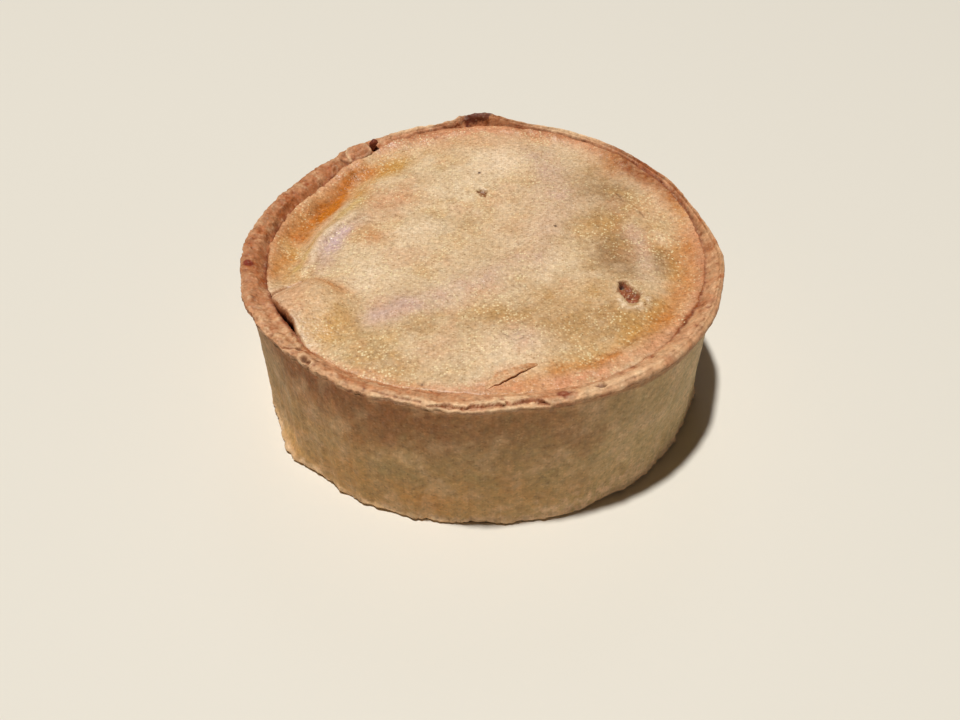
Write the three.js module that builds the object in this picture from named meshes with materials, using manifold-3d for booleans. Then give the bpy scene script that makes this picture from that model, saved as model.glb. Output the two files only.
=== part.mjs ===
// Scotch pie: a straight-sided case of hot-water pastry with a raised rim, and a lid baked inside the rim.
// Millimetres, +Z up, origin under the middle of the foot. The front of the pie is -Y.
// Angles are in degrees round the pie, from +X towards +Y, so the front is at 270 and the back at 90.
import * as THREE from "three";
import { mergeVertices } from "three/addons/utils/BufferGeometryUtils.js";
import Module from "manifold-3d";

// Driving sizes
const rimRadius = 50; // outside of the rim
const rimHeight = 33.6; // table to the rim's crest
const footRadius = 49.2; // outside of the wall where it stands
const footRound = 0.9; // rounding of the wall's bottom edge
const wallBelly = 0.5; // how far the wall swells half way up
const plainOverhang = 0.6; // how far the rim stands out over the wall
const lipDepth = 2.6; // height of the overhanging lip
const lipBend = { out: 0.8, up: 0.45 }; // shares of the overhang and the depth where the lip turns upright
const rimEdge = { across: 0.23, down: 0.65 }; // rounding of its upper edge: share of its width, and depth
const crestDrop = 0.3; // fall of the crest towards the lid
const crestShare = 0.6; // share of the rim's width that is crest, before it slopes down to the lid
const plainSeamRadius = 45.8; // where the rim's inner slope meets the lid
const seamDrop = 0.6; // least fall from the crest to the seam
const lidLevel = 32; // table to the middle of the lid
const lidThickness = 3.2; // pastry of the lid
const lidEdgeRound = 0.9; // rounding of the lid's edge
const restGap = 0.35; // lid to the filled case under it
const seamGap = 0.4; // lid's edge to the rim
const plainGutterRadius = 41.5; // ring where the lid dips before it meets the rim
const gutterWidth = 4.6;
const caseFinish = { color: 0xc09a62, roughness: 0.75, metalness: 0 };
const lidFinish = { color: 0xd2ab70, roughness: 0.5, metalness: 0 };

// Fineness of the facets
const segments = 96;
const wallRows = 6;
const lidRings = 21;
const ringCrowding = 1.15; // above 1 the rings crowd towards the lid's edge
const edgeSteps = 2; // chords of a rounded edge
const hiddenRings = [0.3, 0.55, 0.72, 0.82, 0.9]; // of the lid's radius, for the faces that meet inside
const raggedWaves = [
  { waves: 7, by: 0.12, shift: 0.6 },
  { waves: 12, by: 0.1, shift: 2.1 },
  { waves: 19, by: 0.1, shift: 4 },
];
const footLag = 40; // degrees by which the foot's waves lag behind the rim's
const weld = 1e-4; // points nearer than this are one

// Uneven places round the pie: where in degrees, how wide in degrees, and how much in millimetres
const rimDents = [
  { at: 12, width: 11, by: -0.85 },
  { at: 44, width: 12, by: 0.6 },
  { at: 70, width: 30, by: 0.4 },
  { at: 90, width: 7, by: 0.8 },
  { at: 134, width: 7, by: 0.5 },
  { at: 147, width: 10, by: -0.8 },
  { at: 192, width: 24, by: 0.95 },
  { at: 252, width: 7, by: -0.7 },
  { at: 276, width: 9, by: -1.1 },
  { at: 296, width: 7, by: -0.5 },
  { at: 328, width: 26, by: 0.7 },
  { at: 348, width: 28, by: 0.6 },
];
const rimLifts = [
  { at: 20, width: 26, by: -0.6 },
  { at: 76, width: 24, by: 0.4 },
  { at: 90, width: 8, by: 1.8 },
  { at: 142, width: 24, by: -0.9 },
  { at: 230, width: 20, by: 0.3 },
  { at: 285, width: 18, by: -0.3 },
];
const seamShifts = [
  { at: 40, width: 45, by: 2.6 },
  { at: 95, width: 30, by: 2.6 },
  { at: 150, width: 8, by: -1.5 },
  { at: 268, width: 25, by: -2 },
  { at: 350, width: 20, by: 0.5 },
];
const lipOverhangs = [
  { at: 186, width: 26, by: 1.7 },
  { at: 352, width: 26, by: 1 },
];
const footDents = [
  { at: 214, width: 8, by: 2.4 },
  { at: 308, width: 13, by: 0.9 },
  { at: 268, width: 20, by: -0.2 },
  { at: 60, width: 30, by: 0.5 },
  { at: 150, width: 16, by: -0.9 },
];
const gutterDepths = [
  { at: 158, width: 38, by: 3.3 },
  { at: 350, width: 38, by: 1.5 },
];
const gutterShifts = [
  { at: 155, width: 45, by: -1.2 },
  { at: 0, width: 50, by: 1.5 },
];
const seamSplit = { at: 212, width: 9, by: 1.3 }; // where the lid has shrunk away from the rim

// Swellings and hollows of the lid: middle, half sizes, turn in degrees, height, and how steep their edge is
const lidMounds = [
  { x: -34.8, y: -20.8, along: 8.2, across: 9.4, turn: 0, by: 2.3, steep: 2 }, // blister by the split
  { x: -4, y: -32, along: 22, across: 11, turn: 0, by: 0.9, steep: 1 }, // front swelling
  { x: 0, y: 39, along: 18, across: 10, turn: 0, by: 1.5, steep: 1 }, // back swelling
  { x: 34, y: 0, along: 9, across: 8, turn: 20, by: -1.1, steep: 1 }, // hollow at the right
  { x: -24, y: -10, along: 9, across: 7, turn: 30, by: 0.7, steep: 1 }, // low dome behind the blister
  { x: -30, y: 6, along: 8, across: 5, turn: 60, by: 0.5, steep: 1 }, // edge of the gutter
  { x: -5, y: -13, along: 19, across: 4, turn: 34, by: 0.6, steep: 1 }, // ridge across the middle
  { x: 15, y: 13, along: 17, across: 4.5, turn: 66, by: 0.5, steep: 1 }, // ridge towards the back
  { x: 2, y: 8, along: 12, across: 8, turn: 30, by: -0.5, steep: 1 }, // hollow between the ridges
  { x: 36, y: 29, along: 13, across: 4, turn: 129, by: 0.7, steep: 1 }, // raised edge at the back right
];

// Small torn places, as squashed balls that are cut out or joined on
const tornHole = { x: 29.7, y: -14, sizes: [2.1, 3.6, 1.9], turn: 25 };
const ventHole = { x: 0, y: 21.7, sizes: [1.1, 0.8, 1], turn: 0 };
const liftedFlake = { x: 5.2, y: -39.6, sizes: [5.4, 2.6, 1], turn: 34 };
const burntLumps = [
  { at: 123, inset: 1.3, sizes: [1, 1.4, 0.9] },
  { at: 91, inset: 1.4, sizes: [4, 1.4, 0.5] },
];
const ballFacets = [14, 9]; // round and over the small balls

const radians = THREE.MathUtils.degToRad;
const lerp = THREE.MathUtils.lerp;

// 1 at one angle of the pie, falling to 0 some degrees away.
function near(angle, { at, width }) {
  const apart = ((((angle - at) % 360) + 540) % 360) - 180;
  return Math.exp(-((apart / width) ** 2));
}

function around(places, angle) {
  return places.reduce((sum, place) => sum + place.by * near(angle, place), 0);
}

function ragged(angle) {
  return raggedWaves.reduce((sum, w) => sum + w.by * Math.sin(w.waves * radians(angle) + w.shift), 0);
}

function moundHeight({ x, y, along, across, turn, by, steep }, px, py) {
  const c = Math.cos(radians(turn));
  const s = Math.sin(radians(turn));
  const u = ((px - x) * c + (py - y) * s) / along;
  const v = ((py - y) * c - (px - x) * s) / across;
  return by * Math.exp(-((u * u + v * v) ** steep));
}

// Height of the lid's upper face over the table.
function lidTop(x, y) {
  const radius = Math.hypot(x, y);
  const angle = THREE.MathUtils.radToDeg(Math.atan2(y, x));
  const fromGutter = radius - plainGutterRadius - around(gutterShifts, angle);
  const dip = around(gutterDepths, angle) * Math.exp(-((fromGutter / gutterWidth) ** 2));
  return lidMounds.reduce((sum, mound) => sum + moundHeight(mound, x, y), lidLevel - dip);
}

function rimOutside(angle) {
  return rimRadius + around(rimDents, angle) + ragged(angle);
}

// Radius where the rim's inner slope meets the lid.
function seamRadius(angle) {
  return plainSeamRadius + around(seamShifts, angle);
}

function lidRadius(angle) {
  return seamRadius(angle) - seamGap - seamSplit.by * near(angle, seamSplit);
}

// Height of the lid's upper face at a share of its radius, in one direction.
function lidTopAt(angle, share) {
  const radius = lidRadius(angle) * share;
  return lidTop(radius * Math.cos(radians(angle)), radius * Math.sin(radians(angle)));
}

function lidUnderAt(angle, share) {
  return lidTopAt(angle, share) - lidThickness;
}

// A quarter round from the top of an upright side, in and up to a level face.
function rounded(radius, height, [across, down]) {
  return Array.from({ length: edgeSteps + 1 }, (_, step) => {
    const turn = (step / edgeSteps) * (Math.PI / 2);
    return [radius - across * (1 - Math.cos(turn)), height - down * (1 - Math.sin(turn))];
  });
}

// Profile of the case in one direction: out under it, up the wall, over the rim and in to the middle.
function caseProfile(angle) {
  const outside = rimOutside(angle);
  const crest = rimHeight + around(rimLifts, angle);
  const foot = footRadius + around(footDents, angle) + ragged(angle + footLag);
  const overhang = plainOverhang + around(lipOverhangs, angle);
  const seam = seamRadius(angle);
  const seamHeight = Math.min(lidTopAt(angle, 1), crest - seamDrop);
  const crestEnd = lerp(outside, seam, crestShare);
  const edge = lidRadius(angle);
  const points = [
    [0, 0],
    [foot / 2, 0],
    [foot - footRound, 0],
    [foot, footRound],
  ];
  for (let row = 1; row <= wallRows; row++) {
    const share = row / (wallRows + 1);
    const radius = lerp(foot, outside - overhang, share) + wallBelly * Math.sin(Math.PI * share);
    points.push([radius, lerp(footRound, crest - lipDepth, share)]);
  }
  points.push(
    [outside - overhang, crest - lipDepth],
    [outside - overhang * (1 - lipBend.out), crest - lipDepth * (1 - lipBend.up)],
    ...rounded(outside, crest, [rimEdge.across * (outside - seam), rimEdge.down]),
    [crestEnd, crest - crestDrop],
    [seam, seamHeight],
    [seam, lidUnderAt(angle, 1) - restGap],
  );
  const inwards = [1, ...hiddenRings.toReversed()];
  inwards.forEach((share) => points.push([edge * share, lidUnderAt(angle, share) - restGap]));
  points.push([0, lidUnderAt(angle, 0) - restGap]);
  return points;
}

// Profile of the lid in one direction, out along its underside and back in over its top.
function lidProfile(angle) {
  const edge = lidRadius(angle);
  const points = [0, ...hiddenRings, 1].map((share) => [edge * share, lidUnderAt(angle, share)]);
  points.push(...rounded(edge, lidTopAt(angle, 1), [lidEdgeRound, lidEdgeRound]).slice(0, edgeSteps));
  const topShare = (edge - lidEdgeRound) / edge;
  for (let ring = 0; ring <= lidRings; ring++) {
    const share = (1 - (ring / lidRings) ** ringCrowding) * topShare;
    points.push([edge * share, lidTopAt(angle, share)]);
  }
  return points;
}

// A lathe solid whose profile changes with the angle, standing on Z.
function turned(profileAt) {
  const start = profileAt(0).map(([radius, height]) => new THREE.Vector2(radius, height));
  const geometry = new THREE.LatheGeometry(start, segments);
  const position = geometry.getAttribute("position");
  for (let i = 0; i <= segments; i++) {
    const angle = ((i % segments) * 360) / segments;
    const c = Math.cos(radians(angle));
    const s = Math.sin(radians(angle));
    profileAt(angle).forEach(([radius, height], j) => {
      position.setXYZ(i * start.length + j, radius * c, radius * s, height);
    });
  }
  return geometry;
}

function ball(sizes, turn, place) {
  return new THREE.SphereGeometry(1, ...ballFacets)
    .rotateX(Math.PI / 2)
    .scale(...sizes)
    .rotateZ(radians(turn))
    .translate(...place);
}

// Joining and cutting
const wasm = await Module();
wasm.setup();

function solid(geometry) {
  const bare = geometry.clone();
  bare.deleteAttribute("normal");
  bare.deleteAttribute("uv");
  const merged = mergeVertices(bare, weld);
  const whole = [];
  const index = merged.index.array;
  for (let i = 0; i < index.length; i += 3) {
    const [a, b, c] = index.slice(i, i + 3);
    if (a !== b && b !== c && c !== a) whole.push(a, b, c);
  }
  const vertProperties = merged.attributes.position.array;
  return new wasm.Manifold(new wasm.Mesh({ numProp: 3, vertProperties, triVerts: new Uint32Array(whole) }));
}

function geometryOf(manifold) {
  const { vertProperties, triVerts } = manifold.getMesh();
  const geometry = new THREE.BufferGeometry();
  geometry.setAttribute("position", new THREE.BufferAttribute(vertProperties, 3));
  geometry.setIndex(new THREE.BufferAttribute(triVerts, 1));
  geometry.computeVertexNormals();
  return geometry;
}

// A flake of crust that lifts towards the front: half a squashed ball, cut off along its free edge.
function flake({ x, y, sizes, turn }) {
  const height = lidTop(x, y);
  const whole = solid(ball(sizes, turn, [x, y, height]));
  const half = new THREE.BoxGeometry(4 * sizes[0], 2 * sizes[1], 4 * sizes[2])
    .translate(0, -sizes[1], 0)
    .rotateZ(radians(turn))
    .translate(x, y, height);
  return whole.subtract(solid(half));
}

function lidSolid() {
  const hole = ({ x, y, sizes, turn }) => solid(ball(sizes, turn, [x, y, lidTop(x, y)]));
  return solid(turned(lidProfile)).add(flake(liftedFlake)).subtract(hole(tornHole)).subtract(hole(ventHole));
}

function caseSolid() {
  const lump = ({ at, inset, sizes }) => {
    const crest = rimHeight + around(rimLifts, at);
    const place = new THREE.Vector3(rimOutside(at) - inset, 0, crest);
    place.applyAxisAngle(new THREE.Vector3(0, 0, 1), radians(at));
    return solid(ball(sizes, at + 90, place));
  };
  return burntLumps.reduce((whole, place) => whole.add(lump(place)), solid(turned(caseProfile)));
}

function piece(name, manifold, finish) {
  const mesh = new THREE.Mesh(geometryOf(manifold), new THREE.MeshStandardMaterial(finish));
  mesh.name = name;
  return mesh;
}

const pie = new THREE.Group();
pie.add(piece("pastry_case", caseSolid(), caseFinish));
pie.add(piece("lid", lidSolid(), lidFinish));

// The origin goes under the middle of the pie's own outline.
const bounds = new THREE.Box3().setFromObject(pie);
const middle = bounds.getCenter(new THREE.Vector3());
pie.position.set(-middle.x, -middle.y, -bounds.min.z);

export default pie;
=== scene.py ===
import math
import bpy
import numpy as np
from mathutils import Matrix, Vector, noise


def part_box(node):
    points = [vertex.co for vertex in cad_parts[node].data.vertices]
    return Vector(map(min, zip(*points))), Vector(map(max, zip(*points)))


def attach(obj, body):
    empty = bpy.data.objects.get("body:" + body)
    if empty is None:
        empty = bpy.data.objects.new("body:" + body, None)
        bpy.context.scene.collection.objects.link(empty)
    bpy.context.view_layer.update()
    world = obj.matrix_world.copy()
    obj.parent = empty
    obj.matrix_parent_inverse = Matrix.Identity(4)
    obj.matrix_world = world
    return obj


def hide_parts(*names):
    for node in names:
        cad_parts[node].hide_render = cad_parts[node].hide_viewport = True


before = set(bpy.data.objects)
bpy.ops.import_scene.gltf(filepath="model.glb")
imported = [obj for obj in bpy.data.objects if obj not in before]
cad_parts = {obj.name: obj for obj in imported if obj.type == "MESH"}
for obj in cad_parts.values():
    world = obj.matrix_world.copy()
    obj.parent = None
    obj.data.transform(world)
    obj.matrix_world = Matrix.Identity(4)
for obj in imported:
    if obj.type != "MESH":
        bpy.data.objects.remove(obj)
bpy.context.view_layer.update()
print("frame loaded with", len(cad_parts), "solids")

mm = 0.001

# Shape of the pie, in millimetres and degrees, as the solids have it. Angles run from +X towards +Y,
# so the front is at 270. Places round the pie are (angle, width in degrees, amount).
pie = {
    "rimRadius": 50,
    "rimHeight": 33.6,
    "footRadius": 49.2,
    "footRound": 0.9,
    "wallBelly": 0.5,
    "crestDrop": 0.3,
    "crestShare": 0.6,
    "seamRadius": 45.8,
    "seamDrop": 0.6,
    "lidLevel": 32,
    "lidThickness": 3.2,
    "gutterRadius": 41.5,
    "gutterWidth": 4.6,
    "waves": [(7, 0.12, 0.6), (12, 0.1, 2.1), (19, 0.1, 4)],
    "footLag": 40,
    "rimDents": [
        (12, 11, -0.85), (44, 12, 0.6), (70, 30, 0.4), (90, 7, 0.8), (134, 7, 0.5), (147, 10, -0.8),
        (192, 24, 0.95), (252, 7, -0.7), (276, 9, -1.1), (296, 7, -0.5), (328, 26, 0.7), (348, 28, 0.6),
    ],
    "rimLifts": [
        (20, 26, -0.6), (76, 24, 0.4), (90, 8, 1.8), (142, 24, -0.9), (230, 20, 0.3), (285, 18, -0.3),
    ],
    "seamShifts": [(40, 45, 2.6), (95, 30, 2.6), (150, 8, -1.5), (268, 25, -2), (350, 20, 0.5)],
    "footDents": [(214, 8, 2.4), (308, 13, 0.9), (268, 20, -0.2), (60, 30, 0.5), (150, 16, -0.9)],
    "gutterDepths": [(158, 38, 3.3), (350, 38, 1.5)],
    "gutterShifts": [(155, 45, -1.2), (0, 50, 1.5)],
    # swellings and hollows of the lid: x, y, half sizes, turn in degrees, height, steepness of the edge
    "mounds": [
        (-34.8, -20.8, 8.2, 9.4, 0, 2.3, 2),  # blister by the split
        (-4, -32, 22, 11, 0, 0.9),  # front swelling
        (0, 39, 18, 10, 0, 1.5),  # back swelling
        (34, 0, 9, 8, 20, -1.1),  # hollow at the right
        (-24, -10, 9, 7, 30, 0.7),  # low dome behind the blister
        (-30, 6, 8, 5, 60, 0.5),  # edge of the gutter
        (-5, -13, 19, 4, 34, 0.6),  # ridge across the middle
        (15, 13, 17, 4.5, 66, 0.5),  # ridge towards the back
        (2, 8, 12, 8, 30, -0.5),  # hollow between the ridges
        (36, 29, 13, 4, 129, 0.7),  # raised edge at the back right
    ],
}


def bell(away, width):  # 1 at no distance, falling to 0
    return np.exp(-(away / width) ** 2)


def near(angle, at, width):  # the same round the pie, in degrees
    return bell((angle - at + 180) % 360 - 180, width)


def around(places, angle):
    return sum(by * near(angle, at, width) for at, width, by in places)


def ragged(angle):
    return sum(by * np.sin(count * np.radians(angle) + shift) for count, by, shift in pie["waves"])


def mounds(x, y, places):  # x, y, half sizes, turn in degrees, height, and steepness where it isn't 1
    total = np.zeros(np.shape(x))
    for atX, atY, along, across, turn, height, *steep in places:
        c, s = math.cos(math.radians(turn)), math.sin(math.radians(turn))
        u = ((x - atX) * c + (y - atY) * s) / along
        v = ((y - atY) * c - (x - atX) * s) / across
        total += height * np.exp(-(u * u + v * v) ** (steep[0] if steep else 1))
    return total


def pitted(x, y, places):  # round pits with steep edges: x, y, radius, depth
    return mounds(x, y, [(atX, atY, radius, radius, 0, deep, 2) for atX, atY, radius, deep in places])


def lidTop(x, y):  # height of the lid's upper face in the solid
    angle = np.degrees(np.arctan2(y, x))
    middle = pie["gutterRadius"] + around(pie["gutterShifts"], angle)
    gutter = around(pie["gutterDepths"], angle) * bell(np.hypot(x, y) - middle, pie["gutterWidth"])
    return pie["lidLevel"] - gutter + mounds(x, y, pie["mounds"])


def rimOutside(angle):
    return pie["rimRadius"] + around(pie["rimDents"], angle) + ragged(angle)


def rimCrest(angle):
    return pie["rimHeight"] + around(pie["rimLifts"], angle)


def seamRadius(angle):  # where the rim's inner slope meets the lid
    return pie["seamRadius"] + around(pie["seamShifts"], angle)


def footOutside(angle):
    return pie["footRadius"] + around(pie["footDents"], angle) + ragged(angle + pie["footLag"])


def rough(points, size, octaves=3, seed=0):  # fractal noise about -1 to 1, with features of that size in mm
    shift = Vector((13.7 * seed, 5.3 * seed, 9.1 * seed))
    flat = np.asarray(points, float).reshape(-1, 3) / size
    values = [noise.fractal(Vector(p) + shift, 1.0, 2.0, octaves) for p in flat]
    return np.array(values).reshape(np.shape(points)[:-1])


def ease(value, low, high):  # 0 below low, 1 above high, smooth between
    t = np.clip((value - low) / (high - low), 0, 1)
    return t * t * (3 - 2 * t)


def fromLine(x, y, corners):  # distance from a line, its side (1 is left) and the share of the line passed
    best, side, passed = np.full(np.shape(x), 1e9), 0 * x, 0 * x
    for k, ((ax, ay), (bx, by)) in enumerate(zip(corners, corners[1:])):
        length = (bx - ax) ** 2 + (by - ay) ** 2
        t = np.clip(((x - ax) * (bx - ax) + (y - ay) * (by - ay)) / length, 0, 1)
        away = np.hypot(x - ax - t * (bx - ax), y - ay - t * (by - ay))
        nearer = away < best
        side = np.where(nearer, np.sign((bx - ax) * (y - ay) - (by - ay) * (x - ax)), side)
        passed = np.where(nearer, (k + t) / (len(corners) - 1), passed)
        best = np.minimum(best, away)
    return best, side, passed


def folded(x, y, places):  # folds that rise steeply on one side of a line and run out on the other
    height = 0 * x
    for corners, rise, steep, fade in places:
        away, side, passed = fromLine(x, y, corners)
        ends = ease(passed, 0, 0.2) * (1 - ease(passed, 0.75, 1))
        step = ease(away * side, -steep, steep) * bell(np.maximum(away * side, 0), fade)
        height = height + rise * ends * step
    return height


def alongLine(x, y, corners, width):  # 1 on a line through the corners, falling to 0 beside it
    return bell(fromLine(x, y, corners)[0], width)


def alongLines(x, y, lines):
    return sum(amount * alongLine(x, y, corners, width) for corners, width, amount in lines)


def insideOf(x, y, corners):  # distance to an outline, positive inside it
    within = np.zeros(np.shape(x), bool)
    for (ax, ay), (bx, by) in zip(corners, corners[1:] + corners[:1]):
        crosses = (ay > y) != (by > y)
        within ^= crosses & (x < (bx - ax) * (y - ay) / ((by - ay) or 1e-9) + ax)
    away = fromLine(x, y, corners + corners[:1])[0]
    return np.where(within, away, -away)


def blurred(field, reach, closed):  # every value averaged with its neighbours in the grid
    for axis in (0, 1):
        wrap = "wrap" if closed and axis == 1 else "edge"
        wide = np.pad(field, [(reach, reach) if a == axis else (0, 0) for a in (0, 1)], mode=wrap)
        field = sum(np.take(wide, range(k, k + field.shape[axis]), axis=axis) for k in range(2 * reach + 1))
        field = field / (2 * reach + 1)
    return field


def normalsOf(grid):  # unit normals of a grid of points that closes round its second side
    across = np.gradient(grid, axis=0)
    along = np.roll(grid, -1, axis=1) - np.roll(grid, 1, axis=1)
    out = np.cross(along, across)
    return out / np.maximum(np.linalg.norm(out, axis=2, keepdims=True), 1e-9)


def placed(angle, radius, height):
    return np.stack([radius * np.cos(np.radians(angle)), radius * np.sin(np.radians(angle)), height], -1)


def turns(count):  # angles evenly round the pie
    return np.linspace(0, 360, count, endpoint=False)


def steps(count):  # even shares of a way, the last one 1
    return [(step + 1) / count for step in range(count)]


def ringOf(angle):
    return placed(angle, 1, 0 * angle)


def roughRound(angle, size, octaves, seed):  # noise that runs round the rim
    return rough(ringOf(angle) * pie["rimRadius"], size, octaves, seed)


def reliefOf(points, layers, seed):  # noise in layers, each of its own size and depth in mm
    return sum(depth * rough(points, size, 3, seed + k) for k, (size, depth) in enumerate(layers))


def gridFaces(grid, closed=False):  # quads of a grid of point numbers, which may close in a ring
    if closed:
        grid = np.hstack([grid, grid[:, :1]])
    corners = [grid[:-1, :-1], grid[:-1, 1:], grid[1:, 1:], grid[1:, :-1]]
    return np.stack(corners, -1).reshape(-1, 4).tolist()


def fanFaces(ring, tip):  # triangles from a ring of points to one point
    return np.stack([ring, np.roll(ring, -1), 0 * ring + tip], -1).tolist()


def borderOf(grid):  # the points along a grid's border, in order
    return np.concatenate([grid[0], grid[1:, -1], grid[-1, -2::-1], grid[-2:0:-1, 0]])


# The pie's own axis stands a little off the middle of its outline, where the frame has its origin.
ring = turns(96)  # the solid has as many points round
outline = ringOf(ring) * np.maximum(rimOutside(ring), footOutside(ring))[:, None]
outlineMiddle = (outline.min(0) + outline.max(0)) / 2
caseLow, caseHigh = (np.array(corner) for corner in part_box("pastry_case"))
pieAxis = (caseLow + caseHigh) / 2 - outlineMiddle * mm
pieAxis[2] = caseLow[2]


def makePiece(name, points, faces, masks, material, node):
    mesh = bpy.data.meshes.new(name)
    mesh.from_pydata((np.asarray(points) * mm + pieAxis).tolist(), [], faces)
    for mask, values in masks.items():
        layer = mesh.attributes.new(mask, "FLOAT", "POINT")
        layer.data.foreach_set("value", np.clip(values, 0, 1).astype(np.float32).ravel())
    mesh.polygons.foreach_set("use_smooth", [True] * len(mesh.polygons))
    mesh.materials.append(material)
    mesh.validate()
    piece = bpy.data.objects.new(name, mesh)
    bpy.context.scene.collection.objects.link(piece)
    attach(piece, "root")
    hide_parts(node)
    print(name, "has", sum(len(f) - 2 for f in faces), "triangles")


def linear(colour):  # sRGB hex to linear
    parts = [int(colour[i:i + 2], 16) / 255 for i in (1, 3, 5)]
    return [p / 12.92 if p <= 0.04045 else ((p + 0.055) / 1.055) ** 2.4 for p in parts] + [1.0]


def addNode(tree, kind, output, **values):  # a socket takes a number or a link, the rest are properties
    node = tree.nodes.new("ShaderNode" + kind)
    sockets = {socket.identifier.replace(" ", "_"): socket for socket in node.inputs}
    for name, value in values.items():
        if name not in sockets:
            setattr(node, name, value)
        elif isinstance(value, bpy.types.NodeSocket):
            tree.links.new(value, sockets[name])
        else:
            sockets[name].default_value = value
    return {socket.identifier: socket for socket in node.outputs}.get(output)


def bakedPastry(name, finish):
    # Flour, lard and water paste, raised round a mould and baked. The eye sees a dull, mealy crust with
    # light crumbs and dark pores, mottled where it took more heat, and a soft shine where fat has come
    # to the surface.
    # Some of its tints are painted shade in hollows and painted highlights, glints and sheen.
    material = bpy.data.materials.new(name)
    material.use_nodes = True
    tree = material.node_tree
    tree.nodes.clear()
    place = addNode(tree, "TexCoord", "Object")
    pattern = {}
    for look in ("patch", "meal", "warm"):  # mottling, soft crumbs and their own warmth
        pattern[look] = addNode(tree, "TexNoise", "Fac", Vector=place, Detail=3.0, Roughness=0.6,
                                Scale=1 / (finish[look + "Size"] * mm))
        pattern[look] = addNode(tree, "MapRange", "Result", Value=pattern[look], From_Min=0.3, From_Max=0.7)
    grains = addNode(tree, "TexVoronoi", "Distance", Vector=place, Scale=1 / (finish["grainSize"] * mm))
    dome = addNode(tree, "MapRange", "Result", interpolation_type="SMOOTHSTEP", Value=grains,
                   From_Min=0.1, From_Max=0.8, To_Min=1.0, To_Max=0.0)
    shade = addNode(tree, "SeparateColor", "Red", Color=grains.node.outputs["Color"])
    colour = addNode(tree, "Mix", "Result_Color", data_type="RGBA", Factor_Float=pattern["patch"],
                     A_Color=linear(finish["light"]), B_Color=linear(finish["deep"]))
    for mask, tint in finish["tints"]:  # places that took more heat, fat or flour, and painted shade, sheen and glints, as their mask says
        amount = addNode(tree, "Attribute", "Fac", attribute_name=mask)
        colour = addNode(tree, "Mix", "Result_Color", data_type="RGBA", Factor_Float=amount, A_Color=colour,
                         B_Color=linear(tint))
    warmth = addNode(tree, "Mix", "Result_Color", data_type="RGBA", Factor_Float=pattern["warm"],
                     A_Color=linear(finish["coolCrumb"]), B_Color=linear(finish["warmCrumb"]))
    colour = addNode(tree, "Mix", "Result_Color", data_type="RGBA", blend_type="SOFT_LIGHT",
                     Factor_Float=finish["warmth"], A_Color=colour, B_Color=warmth)
    # every grain is a little paler or browner than the paste, and a few carry a painted glint, the
    # highlight of a bead of fat
    lightness = addNode(tree, "MapRange", "Result", Value=shade, To_Min=-1.0, To_Max=1.0)
    lightness = addNode(tree, "Math", "Value", operation="MULTIPLY", Value=lightness, Value_001=dome)
    crumb = addNode(tree, "MapRange", "Result", Value=pattern["meal"], To_Min=1 - finish["crumble"],
                    To_Max=1 + finish["crumble"])
    speck = addNode(tree, "VectorMath", "Vector", operation="MULTIPLY_ADD", Vector=lightness,
                    Vector_001=finish["speckle"], Vector_002=crumb)
    colour = addNode(tree, "VectorMath", "Vector", operation="MULTIPLY", Vector=colour, Vector_001=speck)
    paintedGlints = addNode(tree, "MapRange", "Result", Value=shade.node.outputs["Green"],
                    From_Min=finish["paintedGlintFrom"], From_Max=0.92, To_Max=finish["paintedGlint"])
    sparkle = addNode(tree, "Attribute", "Fac", attribute_name="sparkle")
    for share in (dome, sparkle):
        paintedGlints = addNode(tree, "Math", "Value", operation="MULTIPLY", Value=paintedGlints, Value_001=share)
    colour = addNode(tree, "Mix", "Result_Color", data_type="RGBA", Factor_Float=paintedGlints, A_Color=colour,
                     B_Color=linear(finish["paintedGlintColour"]))
    gloss = addNode(tree, "Attribute", "Fac", attribute_name="gloss")
    dull = addNode(tree, "MapRange", "Result", Value=gloss, To_Min=finish["roughness"],
                   To_Max=finish["fatRoughness"])
    dull = addNode(tree, "Math", "Value", operation="MULTIPLY_ADD", use_clamp=True, Value=pattern["warm"],
                   Value_001=0.14, Value_002=dull)  # a little duller from crumb to crumb
    soft = addNode(tree, "Bump", "Normal", Height=pattern["meal"], Strength=finish["mealStrength"],
                   Distance=finish["mealDepth"] * mm)
    crisp = addNode(tree, "Bump", "Normal", Height=dome, Normal=soft, Strength=finish["grainStrength"],
                    Distance=finish["grainDepth"] * mm)
    pastry = addNode(tree, "BsdfPrincipled", "BSDF", Base_Color=colour, Roughness=dull, Normal=crisp,
                     IOR=1.46, Metallic=0.0)
    addNode(tree, "OutputMaterial", None, Surface=pastry)
    return material


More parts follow.
